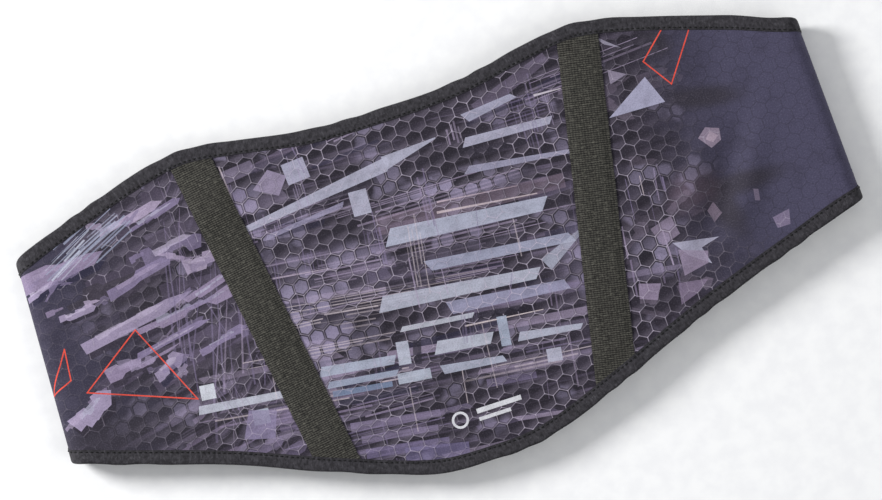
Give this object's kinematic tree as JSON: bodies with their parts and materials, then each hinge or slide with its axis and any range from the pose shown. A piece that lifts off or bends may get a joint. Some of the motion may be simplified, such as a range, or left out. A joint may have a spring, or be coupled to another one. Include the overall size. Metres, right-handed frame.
{
  "type": "kidney belt",
  "caption": "Closed kidney belt with a wide printed back panel, webbing-covered stays, bound edges and narrow front wings joined by hook-and-loop.",
  "frame": {"origin": "middle of the bottom of the bounding box, on the surface that the closed belt lies on", "axes": "+X along the belt to the right as the printed back panel is looked at, +Y from the belt's lower edge to its upper edge, +Z out of the printed face"},
  "size_m": [0.5036, 0.2358, 0.0208],
  "materials": {
    "shell": "printed softshell laminate, matt",
    "lining": "brushed fleece",
    "binding": "knitted binding tape with a topstitched edge",
    "webbing": "ribbed woven webbing",
    "stay": "flexible strip",
    "loop": "loop pile",
    "hook": "moulded hooks on woven tape"
  },
  "bodies": {
    "back": {"shell_centre": "shell", "shell_left": "shell", "shell_right": "shell", "lining_back": "lining", "binding_top_back": "binding", "binding_bottom_back": "binding", "webbing_left": "webbing", "webbing_right": "webbing", "stay_left": "stay", "stay_right": "stay"},
    "right_fold": {"shell_right_fold": "shell", "lining_right_fold": "lining", "binding_top_right_fold": "binding", "binding_bottom_right_fold": "binding"},
    "right_wing": {"shell_right_wing": "shell", "lining_right_wing": "lining", "binding_top_right_wing": "binding", "binding_bottom_right_wing": "binding"},
    "tab": {"shell_tab": "shell", "lining_tab": "lining", "binding_tab": "binding", "hook_tape": "hook"},
    "left_fold": {"shell_left_fold": "shell", "lining_left_fold": "lining", "binding_top_left_fold": "binding", "binding_bottom_left_fold": "binding"},
    "left_wing": {"shell_left_wing": "shell", "lining_left_wing": "lining", "binding_left_wing": "binding", "loop_patch": "loop"}
  },
  "joints": [
    {"name": "right_fold_upper", "type": "hinge", "parent": "back", "child": "right_fold", "pos_m": [0.24557, 0.02139, 0.01598], "axis": [0.0419, -0.9991, 0], "range_deg": [0, 90]},
    {"name": "right_fold_lower", "type": "hinge", "parent": "right_fold", "child": "right_wing", "pos_m": [0.24559, 0.02088, 0.00372], "axis": [0.0419, -0.9991, 0], "range_deg": [0, 90]},
    {"name": "tab_peel", "type": "hinge", "parent": "right_wing", "child": "tab", "pos_m": [-0.01794, -0.00125, 0], "axis": [0.0419, -0.9991, 0], "range_deg": [0, 150]},
    {"name": "left_fold_upper", "type": "hinge", "parent": "back", "child": "left_fold", "pos_m": [-0.24538, 0.02139, 0.01598], "axis": [0.0419, 0.9991, 0], "range_deg": [0, 90]},
    {"name": "left_fold_lower", "type": "hinge", "parent": "left_fold", "child": "left_wing", "pos_m": [-0.2454, 0.02088, 0.00372], "axis": [0.0419, 0.9991, 0], "range_deg": [0, 91.6]}
  ],
  "couplings": [
    {"joint": "right_fold_lower", "follows": "right_fold_upper", "ratio": 1},
    {"joint": "left_fold_upper", "follows": "right_fold_upper", "ratio": 1},
    {"joint": "left_fold_lower", "follows": "right_fold_upper", "ratio": 1.0177}
  ]
}
